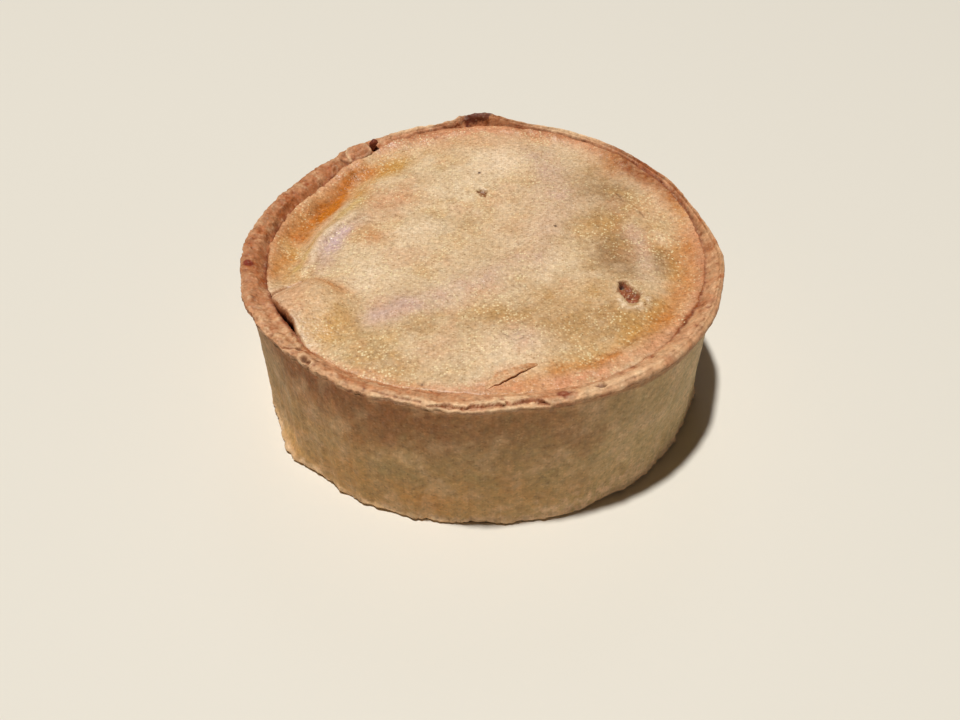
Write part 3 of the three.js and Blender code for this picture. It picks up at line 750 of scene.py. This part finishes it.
# The lid
lid = {
    "cells": 286,  # grid cells across the lid
    "edgeRound": (0.3, [(165, 45, 0.3), (213, 12, 0.2), (30, 40, 0.1)]),
    "gaps": [(213, 6, 0.95), (150, 6, -0.7), (168, 7, 0.4), (185, 9, 0.35), (60, 30, 0.1)],
    "edgeDark": [(332, 10, 1)],  # where the lid is dark along its edge
    "edgeTears": [(1.1, 0.07), (2.6, 0.14), (5.5, 0.4)],
    "scallops": (156, 26, 8.5, 0.5),  # broken edge at the left: where, how wide, length in degrees, depth
    "overlap": 0.3,  # how far the edge sinks into the rim's slope elsewhere
    "underShares": (1, 0.96, 0.9, 0.8, 0.55, 0.25),
    "thickness": 2.2,
    "swell": [(12, 0.35), (5.5, 0.13), (2.4, 0.05), (1, 0.03)],
    "wander": (4.5, 0.9),
    "ridges": [
        ([(-38.3, -7.1), (-36.8, -2.5), (-35.6, 1.6), (-33.6, 5.9), (-31, 9), (-27.8, 14.1),
            (-25.9, 17.4)], 1.8, 0.3),
        ([(-19.2, -21.9), (-8.6, -15.7), (10.1, -2.4), (17.6, 18.2), (11.4, 35.1)], 3, 0.25),
        ([(-44.8, -8), (-45.2, 3), (-43, 12.5), (-39.2, 20.2), (-34.6, 27.7),
            (-29, 34.5)], 1.4, 0.55),
        ([(13.5, -39.5), (21, -36.8), (28.6, -32.3), (34.8, -26.5), (39.6, -20),
            (43.2, -13.5)], 1.5, 0.3),
        ([(-24, 41), (-12, 46), (0, 48), (12, 47.3), (24, 42.5), (34, 34)], 2.3, 0.95),
    ],
    # lines, rise, half width of the steep side and reach of the gentle one
    "folds": [
        ([(-37, -9.2), (-35.7, -3.6), (-34.5, 1.1), (-33.5, 4.4), (-31.6, 7.5), (-29, 10.3),
            (-27, 13.2), (-25, 16.8)], 0.6, 1, 2.8),
        ([(34.5, -25.5), (33.5, -26.6), (29.3, -29.5), (25.4, -33), (21.5, -34.3)], 0.3, 0.3, 2),
    ],
    "creases": [
        ([(-43.4, -18.6), (-42.5, -14.8), (-40.4, -12.3), (-37.3, -10.9)], 0.45, 0.6),
        ([(-37.3, -10.9), (-34.4, -11), (-32.6, -11.8)], 0.5, 0.2),
    ],
    "bumps": [
        (-31.4, 2.6, 2.3, 5.2, -22, -0.9), (-25.5, 4.2, 4.2, 3.4, 20, 0.55), (37.5, 7.5, 3.5, 3.2, 30, 0.4),
        (-22, -32, 5, 4, 0, 0.35), (31, 18, 5, 3, -40, 0.3), (14, -22, 6, 4, 15, 0.3),
        (20, 30, 6, 4, 30, -0.3), (-8, 26, 6, 5, 0, 0.25), (-13, 8, 7, 4, 20, 0.35),
        (8, -14, 6, 4, 30, -0.3),
    ],
    "blister": (-34.8, -20.8, 7.8, 9, 1.3),
    "blisterFade": (-26, -18),  # where it runs out towards the middle of the lid
    "hole": [
        (27.7, -11.3), (29.5, -11), (30.6, -12.7), (31.7, -14), (32.4, -15.7), (31.3, -17.2),
        (30.1, -18.6), (28.8, -16.6), (27.7, -15.2),
    ],
    "holeDepth": 1.1,
    "fringe": [([(27.2, -17.2), (28.5, -19.1), (29.9, -20), (31.7, -19), (33.3, -16.8)], 1, 0.24)],
    "vents": [[(-1.6, 21.6), (-0.4, 22.4), (1.5, 22), (0.8, 19.6), (-0.3, 20), (-0.5, 21.1)]],
    "ventDepth": 0.7,
    "cracks": [
        ([(3.4, -27.6), (4.9, -28.8), (6.4, -29.9), (7.8, -29.3)], 0.16, 0.1),
        ([(34.3, 14.7), (35.3, 13.6), (36.2, 12)], 0.2, 0.1),
        ([(30.9, 20.7), (32.1, 17.5)], 0.2, 0.1),
    ],
    "strokes": 34,  # small wrinkles
    "strokeReach": 44,
    "strokeHalves": (0.8, 2.6),  # half of a wrinkle's length
    "strokeWidths": (0.22, 0.42),
    "strokeHeights": (-0.7, -1, 0.8),
    "strokeDepth": 0.06,
    "pores": 40,
    "poreReach": 45,
    "poreSizes": (0.2, 0.35),
    "poreDepths": (0.4, 0.8),
    "poreDepth": 0.12,
    "fat": [
        ([(-35.6, 18), (-34, 22), (-32.6, 26.5), (-30.6, 29.6), (-28.4, 31.4)], 2.7, 1.2),
        ([(-41, 7.5), (-40, 10), (-37.4, 14), (-35.6, 18)], 2.7, 1),
        ([(-43.4, -8), (-42.6, -4.4), (-42, 0)], 1.8, 0.5),
        ([(44, 20), (45.4, 10), (45.2, 2), (44, -6), (41, -15), (36.5, -22.5)], 3, 0.68),
        ([(36.5, -22.5), (31.5, -28.5), (26.5, -34)], 2.6, 0.42),
        ([(41.5, 20), (38.5, 26), (34.5, 31), (29.5, 35.5)], 3.2, 0.35),
        ([(25, -34), (20.5, -36), (17, -37), (13.5, -37.6)], 1.7, 0.78),
    ],
    # (-23.2, 3.6) is painted shade on a small bump's side, and the spots at (-32.2, -13.4) and (-28.5, -16)
    # are painted shadow by the blister's back
    "fatSpots": [
        (33, 35, 5, 4, -45, 0.35), (-23.2, 3.6, 3.6, 2.6, 20, 0.45), (11.5, -42, 5, 2.2, 15, 0.5),
        (-25.5, 33.5, 3, 2.5, 40, 0.4), (-32.2, -13.4, 3.8, 1.6, -25, 0.75), (-28.5, -16, 2, 3.5, 20, 0.3),
        (-34.8, 19.5, 2.4, 1.6, 40, 0.3), (38.5, 26, 3, 2, -45, 0.3), (6.8, -41.6, 4, 1.2, 25, 0.55),
    ],
    "blush": [
        ([(-44.9, -8), (-45.2, 3), (-43.2, 12.5), (-39.6, 20.6), (-35.2, 28.2), (-30, 35)], 2, 0.7),
        ([(-24.5, 40.5), (-20.5, 43), (-16.5, 44.5), (-12.5, 45.5), (-8.5, 46.8), (0, 48), (10, 47.5),
            (16.5, 46.3), (22.5, 43.5), (28, 39.8)], 3, 1.1),
        ([(47.4, 12), (47.4, 2), (46.2, -8), (43, -17), (38, -25), (31.5, -31.6), (23, -37.6),
            (14, -41)], 1.5, 0.75),
        ([(6, -42), (-6, -42.8), (-16, -41.6), (-26, -37.8), (-32, -33)], 1.4, 0.55),
    ],
    "blushSpots": [
        (-38.5, -20, 5, 8, 0, 0.6), (0, 42, 14, 4.5, 0, 0.4), (4.7, -38.9, 5, 1.8, 28, 0.5),
        (8, 10, 9, 6, 60, 0.2), (-20, 18, 6, 4, 25, 0.6), (12, -41, 6, 3, 15, 0.7),
    ],
    "golden": [
        ([(-29.5, 22), (-28, 26), (-25, 29.5)], 2.2, 0.7),
        ([(-44.6, -8), (-44.8, 3), (-42.8, 11.5), (-39.8, 18.5), (-36.6, 24)], 2, 0.8),
        ([(-42, -9), (-41.5, 0), (-39, 9)], 2.4, 0.4),
        ([(13, -37), (20, -34.5), (28, -28.8), (33.5, -22.8), (38, -15), (41, -6), (42, 2)], 2, 0.45),
    ],
    "goldenSpots": [
        (-22.4, 33.2, 6, 4.5, 35, 0.9), (38, 6, 4, 6, 0, 0.5), (-31, -20, 5, 7, 0, 0.2),
        (-3, 41, 10, 3, 0, 0.4), (20, -16, 7, 4, 20, 0.4), (-40.5, -2, 2.5, 5, 0, 0.6),
        # (-28.6, -26) is painted shade at the blister's right side
        (11, -39.5, 6, 3, 10, 0.6), (-28.6, -26, 3.5, 6, -25, 0.7), (-34, -20, 5, 6, 0, 0.3),
        (-14.3, -42, 4.5, 2, -15, 0.7),
    ],
    "straw": [([(-39, -6), (-37.6, -1), (-36.2, 4), (-33.8, 9.5), (-30.7, 14), (-27.8, 18.5)], 1, 0.75)],
    "strawSpots": [(-22, -31, 6, 4, 20, 0.3), (16, -37, 3, 0.9, 15, 0.5)],
    # the pale crest of the fold is a painted highlight
    "pale": [([(-37.4, -8.5), (-36.1, -3.2), (-35, 1.5), (-33.9, 5), (-32, 8), (-29.4, 11)], 0.7, 0.5)],
    # paler places; those on the dome behind the blister, on the blister's top, at the small bump at (-21.4,
    # 4.6) and in the hollow at the right are painted highlights
    "paleSpots": [
        (-24, -12, 7, 6, 30, 0.7), (4.2, 31.5, 6, 5, 0, 0.85), (5.5, -31, 8, 4, 10, 0.9),
        (38.5, 5, 2.4, 2.4, 0, 0.7), (34, -5, 2.5, 5, 0, 0.6), (-15, 2, 9, 7, 0, 0.45),
        (0, 40, 12, 5, 0, 0.45), (-34.5, -21.5, 5.5, 7, 0, 0.3, 2), (-21.4, 4.6, 1.3, 1.2, 0, 0.5),
        (5.9, 5.1, 1.5, 0.4, 42, 0.7), (0, -36, 10, 3, 0, 0.35), (-6.5, -42.6, 5, 1.6, -8, 0.6),
    ],
    # painted sheen: the cool light from behind, reflected off the fat, drawn as a lilac tint here and in
    # the spots below
    "paintedLilacSheen": [
        ([(-19.2, -21.9), (-8.6, -15.7), (10.1, -2.4), (17.6, 18.2), (13.4, 35.1)], 4.4, 0.65),
        ([(-34.2, -5), (-32.4, 1.8), (-29.8, 7), (-26.6, 11)], 2, 0.5),
        ([(33, 8), (34.5, 2), (34.8, -4), (33, -10)], 1.8, 0.5),
    ],
    "paintedLilacSheenSpots": [
        (6, -29, 5, 3, 10, 0.6), (17, 25, 5, 7, 0, 0.5), (-32.4, -4.5, 2, 5, -12, 0.8),
        (-20, -22.5, 3, 2, 30, 0.5), (-15, -19.5, 7, 2.5, 30, 0.5),
    ],
    # painted reflection: bright glints of the back light on the fat, drawn as a pale lilac tint
    "paintedGlint": [([(-21.5, -23), (-18, -21.2), (-14.8, -19.2)], 1.8, 0.3)],
    "paintedGlintSpots": [(-31.9, 2.4, 1.8, 4, -18, 0.9), (-30.2, 6.4, 1.3, 1.8, -30, 0.6)],
    # greyer places; in the hollows at the right they are partly painted shade
    "grey": [
        (32.3, -1.2, 8.8, 8.4, 20, 1.3, 2), (28, 21, 9, 8, 0, 0.8), (40, -3, 3, 6, 0, 0.4),
        (18, 33, 8, 5, -20, 0.2),
    ],
    "brown": [
        (36.4, 30.2, 9, 3, -50, 1.05), (43.5, 20.5, 5, 1.6, -65, 0.5), (46.4, -6, 1.2, 9, 0, 0.35),
        (15, 46, 12, 1.6, -16, 0.45), (-16, 44.6, 9, 1.8, 19, 0.45), (-14.3, -42.8, 4, 1.6, -15, 0.35),
        (-1.5, -43.8, 4, 1.2, 0, 0.3),
    ],
    "sandy": [
        (18, -22, 15, 9, 15, 1.4), (-20, -26, 8, 6, 0, 0.5), (24, 8, 7, 9, 0, 0.8),
        (-3, -24, 8, 4, 20, 0.4), (30, 28.5, 7, 5, -50, 0.9), (42, -2, 3, 6, 0, 0.6),
        (31, 13, 6, 5, 0, 0.6), (32.5, -19.5, 5, 5, 0, 0.8), (-20, -34.5, 7, 4.5, -30, 0.8),
        # (-26.8, -21.5) is painted shade at the blister's right side
        (-26.8, -21.5, 2.6, 6, -15, 0.4),
    ],
    # where the painted glints of fat cluster, and where there are fewer
    "sparkle": [
        (-39.2, -3.1, 3, 4, 0, 0.8), (-23.6, -34.1, 4, 3, 0, 1), (40.1, 1.8, 3, 5, 0, 1),
        (12, -18, 14, 10, 0, 0.4), (-34.8, -20.8, 7, 8, 0, -0.4, 2), (-22, 29.5, 8, 6, 0, 0.7),
        (-31.2, 3.4, 2.6, 4.5, -18, 1.1), (-24, -8, 8, 6, 0, 0.4),
    ],
    "holePitch": [(28.4, -11.8, 0.9, 1)],  # darkest corner of the hole
    "splitDark": (213, 14),  # where the lid's side is painted dark as shade in the split: angle and width
    "specks": [
        (-0.6, 28.4, 0.4, 1), (16.1, 7.4, 0.35, 1), (-11, -41.6, 0.35, 0.6), (8.8, -12.5, 0.3, 0.4),
    ],
}
lidPastry = {
    "light": "#e9d3b5",
    "deep": "#d5b994",
    "coolCrumb": "#8b8777",
    "warmCrumb": "#9a745a",
    "warmth": 0.5,
    "patchSize": 9,
    "mealSize": 0.9,
    "warmSize": 1.6,
    "grainSize": 0.46,  # flour grains are finer, drawn as coarse as they show from here
    "speckle": (0.28, 0.37, 0.48),
    "crumble": 0.2,
    "paintedGlint": 0.9,
    "paintedGlintFrom": 0.68,
    "paintedGlintColour": "#ffeab8",
    "roughness": 0.38,
    "fatRoughness": 0.22,
    "mealStrength": 0.5,
    "mealDepth": 0.12,
    "grainStrength": 0.5,
    "grainDepth": 0.06,
    # of these, the lilac tint and the one after blush are painted sheen and glints, the tint for sunken
    # places is painted shade; grey, toast, char and some golden, sandy and fat spots carry painted shade,
    # and pale some painted light
    "tints": [
        ("sandy", "#c4a070"), ("grey", "#ae8d66"), ("golden", "#d2a55f"), ("straw", "#d4b87c"),
        ("pale", "#efd8bc"), ("paintedLilacSheen", "#d9bca6"), ("fat", "#cc8022"), ("blush", "#dba47e"),
        ("paintedGlint", "#d8bfc2"), ("toast", "#9c5a2c"), ("recess", "#94643c"), ("meat", "#a0603e"),
        ("char", "#32140b"),
    ],
}


def lidEdge(angle):
    return seamRadius(angle) + lid["overlap"] - around(lid["gaps"], angle)


def lidTears(angle):
    ring = ringOf(angle) * 45  # close to the lid's edge
    torn = reliefOf(ring, lid["edgeTears"], 39)
    at, width, length, depth = lid["scallops"]
    along = angle / length + 1.3 * rough(ring, 9, 2, 38)
    return torn - depth * near(angle, at, width) * (along % 1) ** 2


def wandering(x, y):  # places moved about a little, so that no drawn line stays straight
    flat = np.stack([x, y, 0 * x], -1)
    size, reach = lid["wander"]
    return x + reach * rough(flat, size, 3, 52), y + reach * rough(flat, size, 3, 53)


def lidSurface(x, y):  # height of the baked surface, and the places where it is torn, cracked or pitted
    flat = np.stack([x, y, 0 * x], -1)
    wx, wy = wandering(x, y)
    z = lidTop(x, y) + reliefOf(flat, lid["swell"], 41) + mounds(x, y, lid["bumps"])
    z = z + alongLines(wx, wy, lid["ridges"]) * (0.85 + 0.5 * rough(flat, 4, 2, 48))
    z = z + folded(x + 0.5 * (wx - x), y + 0.5 * (wy - y), lid["folds"])
    atX, atY, along, across, puff = lid["blister"]
    dome = np.sqrt(np.maximum(1 - ((x - atX) / along) ** 2 - ((y - atY) / across) ** 2, 0))
    crease = alongLines(x, y, lid["creases"])
    z = z + puff * dome * (1 - ease(x - 0.5 * y, *lid["blisterFade"])) - crease
    jag = rough(flat, 1.1, 3, 46)
    fringe = alongLines(x, y, lid["fringe"]) * np.maximum(0.8 + 1.3 * jag, 0)
    hole = ease(insideOf(x, y, lid["hole"]) + 0.7 * jag, -0.1, 0.25)
    meat = rough(flat, 1.0, 3, 47)
    z = z + fringe - lid["holeDepth"] * hole * (1 + 0.45 * meat)
    vent = sum(ease(insideOf(x, y, corners) + 0.3 * jag, -0.15, 0.2) for corners in lid["vents"])
    z = z - lid["ventDepth"] * vent
    cracks = alongLines(x + 0.25 * jag, y + 0.25 * jag, lid["cracks"])
    random = np.random.default_rng(11)

    def scatter(reach):
        reach, way = reach * math.sqrt(random.random()), 2 * math.pi * random.random()
        return np.array([reach * math.cos(way), reach * math.sin(way)])

    strokes = np.zeros(np.shape(x))
    for _ in range(lid["strokes"]):
        start = scatter(lid["strokeReach"])
        heading, half = math.pi * random.random(), random.uniform(*lid["strokeHalves"])
        run = half * np.array([math.cos(heading), math.sin(heading)])
        bow = (random.random() - 0.5) * half * np.array([-math.sin(heading), math.cos(heading)])
        height = random.choice(lid["strokeHeights"])
        width = random.uniform(*lid["strokeWidths"])
        strokes += height * alongLine(wx, wy, [start - run, start + bow, start + run], width)
    pores = []
    for _ in range(lid["pores"]):
        at = scatter(lid["poreReach"])
        pores.append((*at, random.uniform(*lid["poreSizes"]), random.uniform(*lid["poreDepths"])))
    pores = pitted(x, y, pores)
    z = z - cracks + lid["strokeDepth"] * strokes - lid["poreDepth"] * pores
    marks = {"hole": hole, "meat": meat, "vent": vent, "cracks": cracks, "pores": pores, "strokes": strokes,
             "fringe": fringe, "crease": crease}
    return z, marks


def lidColours(x, y):  # how far each place has taken each tint
    flat = np.stack([x, y, 0 * x], -1)
    drift, fine = rough(flat, 8, 3, 50), rough(flat, 1.4, 3, 51)
    patchy, other = rough(flat, 7, 4, 54), rough(flat, 9, 4, 55)
    wx, wy = wandering(x, y)
    uneven = np.maximum(0.9 + 0.35 * drift + 0.2 * fine, 0)
    tints = {}
    for tint in ("fat", "blush", "golden", "straw", "pale", "paintedLilacSheen", "paintedGlint"):
        tints[tint] = (alongLines(wx, wy, lid[tint]) + mounds(wx, wy, lid[tint + "Spots"])) * uneven
    tints["grey"] = mounds(wx, wy, lid["grey"]) * uneven
    tints["sandy"] = mounds(wx, wy, lid["sandy"]) * uneven + 0.35 * ease(drift, 0.05, 0.6)
    tints["golden"] += 0.25 * ease(patchy, 0.1, 0.6)
    tints["pale"] += 0.25 * ease(-patchy, 0.15, 0.6)
    tints["blush"] += 0.2 * ease(other, 0.15, 0.6)
    tints["paintedLilacSheen"] *= 0.6 + ease(other, -0.3, 0.5)
    # how many painted glints each place carries
    tints["sparkle"] = 0.5 + mounds(x, y, lid["sparkle"]) + 0.7 * patchy
    tints["sparkle"] *= 1 - 0.6 * np.clip(tints["fat"], 0, 1)
    return tints, fine


def makeLid(material):
    cells = lid["cells"]
    u, v = np.meshgrid(np.linspace(-1, 1, cells + 1), np.linspace(-1, 1, cells + 1))
    # square grid laid onto a disc, so that the cells stay about the same size
    wide = np.abs(u) > np.abs(v)
    share = np.where(wide, u, v)
    ratio = np.where(wide, v, u) / np.where(share == 0, 1, share)
    angle = np.degrees(np.where(wide, math.pi / 4 * ratio, math.pi / 2 - math.pi / 4 * ratio))
    angle = np.where(share < 0, angle + 180, angle) % 360
    share = np.abs(share)
    edge = lidEdge(angle) + lidTears(angle) * ease(share, 0.94, 1)
    x = edge * share * np.cos(np.radians(angle))
    y = edge * share * np.sin(np.radians(angle))
    fromEdge = edge * (1 - share)
    z, marks = lidSurface(x, y)
    least, more = lid["edgeRound"]
    bend = least + around(more, angle)
    z = z - (bend - np.sqrt(np.maximum(bend ** 2 - np.maximum(bend - fromEdge, 0) ** 2, 0)))

    tints, fine = lidColours(x, y)
    dip = blurred(z, 3, False) - z
    masks = dict(tints)
    seamDark = np.clip(around(crust["seamDark"], angle), 0, 1)
    masks["toast"] = (1 - ease(fromEdge + 0.3 * fine, 0.1, 0.6)) * (0.1 + 0.8 * seamDark)
    # painted shade in the crease behind the blister, and browner places
    masks["toast"] += 0.9 * marks["crease"] + mounds(x, y, lid["brown"]) * (0.8 + 0.5 * fine)
    masks["toast"] += around(lid["edgeDark"], angle) * (1 - ease(fromEdge + 0.4 * fine, 0.5, 1.5))
    # painted shade in dips, pores, the vent and wrinkle grooves
    masks["recess"] = 0.4 * ease(dip, 0.02, 0.14) + 0.35 * marks["pores"] + 0.85 * marks["vent"]
    masks["recess"] += 0.15 * np.maximum(-marks["strokes"], 0)
    # torn fringe is paler paste; wrinkle ridges and raised places get painted light
    masks["pale"] = tints["pale"] + 2.6 * marks["fringe"] + 0.25 * np.maximum(marks["strokes"], 0)
    masks["pale"] += 0.2 * ease(-dip, 0.03, 0.12)
    masks["meat"] = marks["hole"]
    # burnt specks, painted shade in the cracks, and the hole's darker corner and meat
    masks["char"] = pitted(x, y, lid["specks"]) + 3.5 * marks["cracks"]
    pitch = 0.8 * pitted(x, y, lid["holePitch"]) + 0.5 * ease(marks["meat"], 0.1, 0.6)
    masks["char"] += marks["hole"] * pitch
    masks["gloss"] = 0.5 * (tints["fat"] + tints["paintedLilacSheen"]) + tints["paintedGlint"] + 0.2 * tints["blush"]
    masks["gloss"] += 0.4 * ease(fine, 0.1, 0.6)

    # the side and the underside hang from the border of the grid
    grid = np.arange((cells + 1) ** 2).reshape(cells + 1, -1)
    border = borderOf(grid)
    top = np.stack([x, y, z], 2).reshape(-1, 3)
    rings = [top[border] * [reach, reach, 0] for reach in lid["underShares"]]
    for ring in rings:
        ring[:, 2] = lidTop(ring[:, 0], ring[:, 1]) - lid["thickness"]
    points = np.concatenate([top, *rings, [[0, 0, pie["lidLevel"] - lid["thickness"]]]])
    side = np.vstack([border, len(top) + np.arange(len(rings) * len(border)).reshape(len(rings), -1)])
    faces = gridFaces(grid) + gridFaces(side[::-1], True) + fanFaces(side[-1, ::-1], len(points) - 1)
    below = np.zeros(len(points) - len(top))
    masks = {name: np.concatenate([mask.ravel(), below]) for name, mask in masks.items()}
    masks["toast"][len(top):] = 0.8
    # painted shade on the lid's side in the split
    masks["char"][side[1]] = near(angle.ravel()[border], *lid["splitDark"])
    makePiece("lid_crust", points, faces, masks, material, "lid")


# The flake that has lifted from the lid's top at the front
flake = {
    "hinge": [(0.2, -41.4), (2.0, -38.6), (4.5, -37.0), (7.4, -35.7), (10.2, -35.7)],
    "free": [(0.6, -42.9), (2.9, -41.7), (4.7, -40.5), (7.8, -38.3), (10.3, -36.6)],
    "steps": (48, 14),
    "rise": 0.6,
    "thickness": 0.45,
    "sunk": 0.15,
    "ragged": 0.22,  # how far the free edge strays
    "meal": 0.05,
    "tip": (6, 10),  # the browned end, from x to x
}


def alongPath(corners, shares):
    corners = np.array(corners)
    lengths = np.concatenate([[0], np.cumsum(np.hypot(*np.diff(corners, axis=0).T))])
    return np.stack([np.interp(shares * lengths[-1], lengths, corners[:, i]) for i in (0, 1)], -1)


def makeFlake(material):
    long, across = flake["steps"]
    s = np.linspace(0, 1, long + 1)
    w = np.linspace(0, 1, across + 1)[:, None]
    hinge, free = alongPath(flake["hinge"], s), alongPath(flake["free"], s)
    edge = rough(np.stack([s * 12, 0 * s, 0 * s], -1), 1.2, 3, 60)
    free = free + flake["ragged"] * edge[:, None] * [0.4, 1]
    plan = hinge[None] * (1 - w[:, :, None]) + free[None] * w[:, :, None]
    base, _ = lidSurface(plan[:, :, 0], plan[:, :, 1])
    swell = np.sin(np.pi * s) ** 0.6
    rise = flake["rise"] * swell * w ** 1.4
    smooth = blurred(base, 4, False)
    upper = np.maximum(base * (1 - w) + smooth * w, smooth) + rise - flake["sunk"] * (1 - w) ** 3
    upper = upper + flake["meal"] * rough(np.concatenate([plan, 0 * plan[:, :, :1]], 2), 0.8, 2, 61)
    lower = upper - flake["thickness"] * (1.3 - 0.6 * w) - 0.3 * (1 - swell)
    points = np.concatenate([np.dstack([plan, z]).reshape(-1, 3) for z in (upper, lower)])
    size = upper.size
    grid = np.arange(size).reshape(upper.shape)
    border = borderOf(grid)
    faces = gridFaces(grid.T) + gridFaces(size + grid) + gridFaces(np.stack([border, size + border]), True)
    x = points[:, 0]
    fine = rough(points * [1, 1, 0], 1.4, 3, 51)
    under = (np.arange(2 * size) >= size) * 1.0
    tip = ease(x, *flake["tip"])
    masks = {
        "golden": 0.45 + 0.3 * fine,
        "blush": 0.45 + 0.3 * fine,
        "fat": 0.4 * tip + 0.2 * ease(fine, 0, 0.6),
        # the underside is darker: painted shade under the flake
        "toast": 0.3 * tip + 0.5 * under,
        "pale": 0.35 * (1 - tip) * (1 - under),
        "gloss": 0.4 + 0 * x,
        # painted glints on the flake
        "sparkle": 0.3 + 0 * x,
    }
    makePiece("lid_flake", points, faces, masks, material, "lid")


caseMaterial = bakedPastry("hot water crust, raised and baked", casePastry)
lidMaterial = bakedPastry("hot water crust, rolled and baked under fat", lidPastry)
makeCase(caseMaterial)
makeChip(caseMaterial)
makeLid(lidMaterial)
makeFlake(lidMaterial)

# Floor, light and camera
studio = {
    "floorColour": "#e6e1d6",
    "floorRoughness": 0.7,
    "floorSize": 2.4,
    "ambient": ("#ffdeb8", 0.014),
    "backdrop": ("#d3ccbd", 1.0),  # the room where it is seen beyond the floor
    "aim": (0, 0, 0.03),  # what the lights point at
    # where each light stands in metres, its size, its power in watts and its colour
    "lights": {
        "lamp": ((-0.346, -0.03, 3.0), 0.18, 90, "#fffdf8"),
        "window": ((0.15, 2.55, 2.34), 0.9, 3.2, "#e6e6fa"),
        "fill": ((1.12, -0.4, 0.2), 0.6, 0.56, "#fff4e4"),
    },
    # fitted to the rim and the foot: lens in mm, look-at point from the pie's axis and distance in mm
    "lens": 35.6,
    "sensor": 36.0,
    "lookAt": (-0.45, -1.15, 0.0),
    "distance": 224.5,
    "elevation": 43.67,
}


def makeFloor():
    corners = ringOf(turns(180)) * studio["floorSize"] / 2
    mesh = bpy.data.meshes.new("floor")
    mesh.from_pydata(corners.tolist(), [], [tuple(range(len(corners)))])
    material = bpy.data.materials.new("matt white paper")
    material.use_nodes = True
    paper = material.node_tree.nodes["Principled BSDF"]
    paper.inputs["Base Color"].default_value = linear(studio["floorColour"])
    paper.inputs["Roughness"].default_value = studio["floorRoughness"]
    mesh.materials.append(material)
    floor = bpy.data.objects.new("floor", mesh)
    bpy.context.scene.collection.objects.link(floor)


def makeLights():
    world = bpy.data.worlds.new("soft room")
    world.use_nodes = True
    colour, strength = studio["ambient"]
    back = world.node_tree.nodes["Background"]
    seen = addNode(world.node_tree, "LightPath", "Is Camera Ray")
    beyond, shown = studio["backdrop"]
    glow = addNode(world.node_tree, "MapRange", "Result", Value=seen, To_Min=strength, To_Max=shown)
    tone = addNode(world.node_tree, "Mix", "Result_Color", data_type="RGBA", Factor_Float=seen,
                   A_Color=linear(colour), B_Color=linear(beyond))
    world.node_tree.links.new(glow, back.inputs["Strength"])
    world.node_tree.links.new(tone, back.inputs["Color"])
    bpy.context.scene.world = world
    for name, (place, size, power, colour) in studio["lights"].items():
        light = bpy.data.lights.new(name, "AREA")
        light.shape = "DISK"
        light.size = size
        light.energy = power
        light.color = linear(colour)[:3]
        lamp = bpy.data.objects.new(name, light)
        lamp.location = place
        lamp.visible_camera = False
        lamp.rotation_euler = (Vector(studio["aim"]) - Vector(place)).to_track_quat("-Z", "Y").to_euler()
        bpy.context.scene.collection.objects.link(lamp)


def makeCamera():
    lens = bpy.data.cameras.new("camera")
    lens.lens = studio["lens"]
    lens.sensor_width = studio["sensor"]
    lens.clip_start = 0.01
    camera = bpy.data.objects.new("camera", lens)
    tilt = math.radians(studio["elevation"])
    back = Vector((0, -math.cos(tilt), math.sin(tilt))) * studio["distance"]
    camera.location = Vector(pieAxis) + (Vector(studio["lookAt"]) + back) * mm
    camera.rotation_euler = (math.pi / 2 - tilt, 0, 0)
    bpy.context.scene.collection.objects.link(camera)
    bpy.context.scene.camera = camera


makeFloor()
makeLights()
makeCamera()
bpy.context.scene.view_settings.view_transform = "Standard"
print("floor, lights and camera made")
